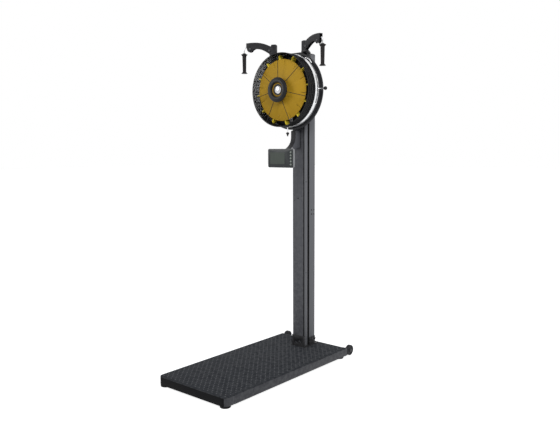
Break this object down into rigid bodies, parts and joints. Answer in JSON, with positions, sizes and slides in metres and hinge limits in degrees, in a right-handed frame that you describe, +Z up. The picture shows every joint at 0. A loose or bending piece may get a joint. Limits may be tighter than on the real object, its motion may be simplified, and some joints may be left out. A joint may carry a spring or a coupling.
{
  "type": "standing cable pull trainer",
  "caption": "Air-resistance standing pull trainer: ribbed platform, tall column, caged fan, tilting console and arms with pull handles on sprung cords.",
  "frame": {"origin": "on the floor under the middle of the machine", "axes": "+Z up, +Y towards the column at the rear, +X to the user's right when facing the column"},
  "size_m": [0.7128, 1.292, 2.184],
  "materials": {
    "deck": "textured dark slate grey plate with raised dots",
    "frame_dark": "dark grey powder coat",
    "rubber": "matt black rubber",
    "wheel": "grey hard plastic",
    "column": "satin grey extrusion",
    "cast_dark": "charcoal powder coat",
    "bolt": "plated steel",
    "shell": "dark grey sheet",
    "band": "bright silver band",
    "wire": "black wire",
    "gold": "mustard gold",
    "gold_bright": "bright yellow gold",
    "chrome": "polished",
    "black_plastic": "matt black",
    "pulley": "black nylon",
    "cord": "braided cord",
    "grip": "soft dark grip",
    "console": "light grey housing",
    "screen": "dark face with a green-grey display",
    "button": "pale buttons"
  },
  "bodies": {
    "frame": {"deck_plate": "deck", "side_rail_left": "frame_dark", "side_rail_right": "frame_dark", "front_rail": "frame_dark", "crossbars": "frame_dark", "feet_front": "rubber", "feet_rear": "rubber", "column_foot": "cast_dark", "column": "column", "column_cover": "column", "column_cap": "cast_dark", "frame_bolts": "bolt", "drive_bracket": "cast_dark", "rear_shell": "shell", "shell_flange": "shell", "rim_band": "band", "wire_guard": "wire", "wire_rings": "wire", "guard_screen": "wire", "hub_ring": "cast_dark", "thumb_knob": "black_plastic", "fan_axle": "bolt", "crossbeam": "cast_dark", "arm_left": "cast_dark", "arm_right": "cast_dark", "root_block_left": "cast_dark", "root_block_right": "cast_dark", "arm_bolts_left": "bolt", "arm_bolts_right": "bolt", "guide_horn_left": "chrome", "guide_horn_right": "chrome", "cord_run_left": "cord", "cord_run_right": "cord", "console_bracket": "cast_dark"},
    "flywheel": {"fan_disc": "gold", "fan_blades": "gold_bright", "fan_hub": "gold", "hub_cap": "chrome"},
    "damper": {"damper_ring": "shell", "damper_knob": "black_plastic"},
    "console": {"console_housing": "console", "console_screen": "screen"},
    "transport_wheel_left": {"wheel_left": "wheel"},
    "transport_wheel_right": {"wheel_right": "wheel"},
    "handle_left": {"handle_grip_left": "grip", "handle_ends_left": "black_plastic", "cord_drop_left": "cord"},
    "tip_pulley_left_body": {"tip_pulley_left": "pulley"},
    "root_pulley_left_body": {"root_pulley_left": "pulley"},
    "beam_pulley_left_body": {"beam_pulley_left": "pulley"},
    "cord_spool_left": {"spool_left": "bolt"},
    "handle_right": {"handle_grip_right": "grip", "handle_ends_right": "black_plastic", "cord_drop_right": "cord"},
    "tip_pulley_right_body": {"tip_pulley_right": "pulley"},
    "root_pulley_right_body": {"root_pulley_right": "pulley"},
    "beam_pulley_right_body": {"beam_pulley_right": "pulley"},
    "cord_spool_right": {"spool_right": "bolt"},
    "key_1": {"button_1": "button"},
    "key_2": {"button_2": "button"},
    "key_3": {"button_3": "button"},
    "key_4": {"button_4": "button"},
    "key_5": {"button_5": "button"}
  },
  "joints": [
    {"name": "fan_spin", "type": "hinge", "parent": "frame", "child": "flywheel", "pos_m": [0, 0.214, 1.849], "axis": [0, 1, 0], "continuous": true},
    {"name": "damper_turn", "type": "hinge", "parent": "frame", "child": "damper", "pos_m": [0, 0.33, 1.849], "axis": [0, 1, 0], "range_deg": [-18, 18]},
    {"name": "console_tilt", "type": "hinge", "parent": "frame", "child": "console", "pos_m": [0, 0.226, 1.4435], "axis": [1, 0, 0], "range_deg": [-25, 0]},
    {"name": "wheel_left_spin", "type": "hinge", "parent": "frame", "child": "transport_wheel_left", "pos_m": [-0.2835, 0.61, 0.039], "axis": [1, 0, 0], "continuous": true},
    {"name": "wheel_right_spin", "type": "hinge", "parent": "frame", "child": "transport_wheel_right", "pos_m": [0.2835, 0.61, 0.039], "axis": [1, 0, 0], "continuous": true},
    {"name": "handle_left_pull", "type": "slide", "parent": "frame", "child": "handle_left", "axis": [0, 0, -1], "range_m": [0, 1.4], "stiffness_N_per_m": 9, "springref_m": -1.3, "deforming": ["cord_drop_left"]},
    {"name": "tip_pulley_left_spin", "type": "hinge", "parent": "frame", "child": "tip_pulley_left_body", "pos_m": [-0.2905, 0.22622, 2.143], "axis": [-0.3567, 0.9342, 0], "range_deg": [-5750, 20]},
    {"name": "root_pulley_left_spin", "type": "hinge", "parent": "frame", "child": "root_pulley_left_body", "pos_m": [-0.15971, 0.27616, 2.125], "axis": [-0.3567, 0.9342, 0], "range_deg": [-5750, 20]},
    {"name": "beam_pulley_left_spin", "type": "hinge", "parent": "frame", "child": "beam_pulley_left_body", "pos_m": [0.016, 0.348, 2.075], "axis": [0, 1, 0], "range_deg": [-5750, 20]},
    {"name": "spool_left_spin", "type": "hinge", "parent": "frame", "child": "cord_spool_left", "pos_m": [0, 0.348, 1.849], "axis": [0, 1, 0], "range_deg": [-2694, 20]},
    {"name": "handle_right_pull", "type": "slide", "parent": "frame", "child": "handle_right", "axis": [0, 0, -1], "range_m": [0, 1.4], "stiffness_N_per_m": 9, "springref_m": -1.3, "deforming": ["cord_drop_right"]},
    {"name": "tip_pulley_right_spin", "type": "hinge", "parent": "frame", "child": "tip_pulley_right_body", "pos_m": [0.2905, 0.22622, 2.143], "axis": [0.3567, 0.9342, 0], "range_deg": [-20, 5750]},
    {"name": "root_pulley_right_spin", "type": "hinge", "parent": "frame", "child": "root_pulley_right_body", "pos_m": [0.15971, 0.27616, 2.125], "axis": [0.3567, 0.9342, 0], "range_deg": [-20, 5750]},
    {"name": "beam_pulley_right_spin", "type": "hinge", "parent": "frame", "child": "beam_pulley_right_body", "pos_m": [0.044, 0.364, 2.075], "axis": [0, 1, 0], "range_deg": [-20, 5750]},
    {"name": "spool_right_spin", "type": "hinge", "parent": "frame", "child": "cord_spool_right", "pos_m": [0, 0.364, 1.849], "axis": [0, 1, 0], "range_deg": [-2694, 20]},
    {"name": "key_1_press", "type": "slide", "parent": "console", "child": "key_1", "axis": [0, 1, 0], "range_m": [0, 0.0015], "stiffness_N_per_m": 400, "springref_m": -0.001},
    {"name": "key_2_press", "type": "slide", "parent": "console", "child": "key_2", "axis": [0, 1, 0], "range_m": [0, 0.0015], "stiffness_N_per_m": 400, "springref_m": -0.001},
    {"name": "key_3_press", "type": "slide", "parent": "console", "child": "key_3", "axis": [0, 1, 0], "range_m": [0, 0.0015], "stiffness_N_per_m": 400, "springref_m": -0.001},
    {"name": "key_4_press", "type": "slide", "parent": "console", "child": "key_4", "axis": [0, 1, 0], "range_m": [0, 0.0015], "stiffness_N_per_m": 400, "springref_m": -0.001},
    {"name": "key_5_press", "type": "slide", "parent": "console", "child": "key_5", "axis": [0, 1, 0], "range_m": [0, 0.0015], "stiffness_N_per_m": 400, "springref_m": -0.001}
  ],
  "couplings": [
    {"joint": "tip_pulley_left_spin", "follows": "handle_left_pull", "rad_per_m": -71.429},
    {"joint": "root_pulley_left_spin", "follows": "handle_left_pull", "rad_per_m": -71.429},
    {"joint": "beam_pulley_left_spin", "follows": "handle_left_pull", "rad_per_m": -71.429},
    {"joint": "spool_left_spin", "follows": "handle_left_pull", "rad_per_m": -33.333},
    {"joint": "tip_pulley_right_spin", "follows": "handle_right_pull", "rad_per_m": 71.429},
    {"joint": "root_pulley_right_spin", "follows": "handle_right_pull", "rad_per_m": 71.429},
    {"joint": "beam_pulley_right_spin", "follows": "handle_right_pull", "rad_per_m": 71.429},
    {"joint": "spool_right_spin", "follows": "handle_right_pull", "rad_per_m": -33.333}
  ]
}
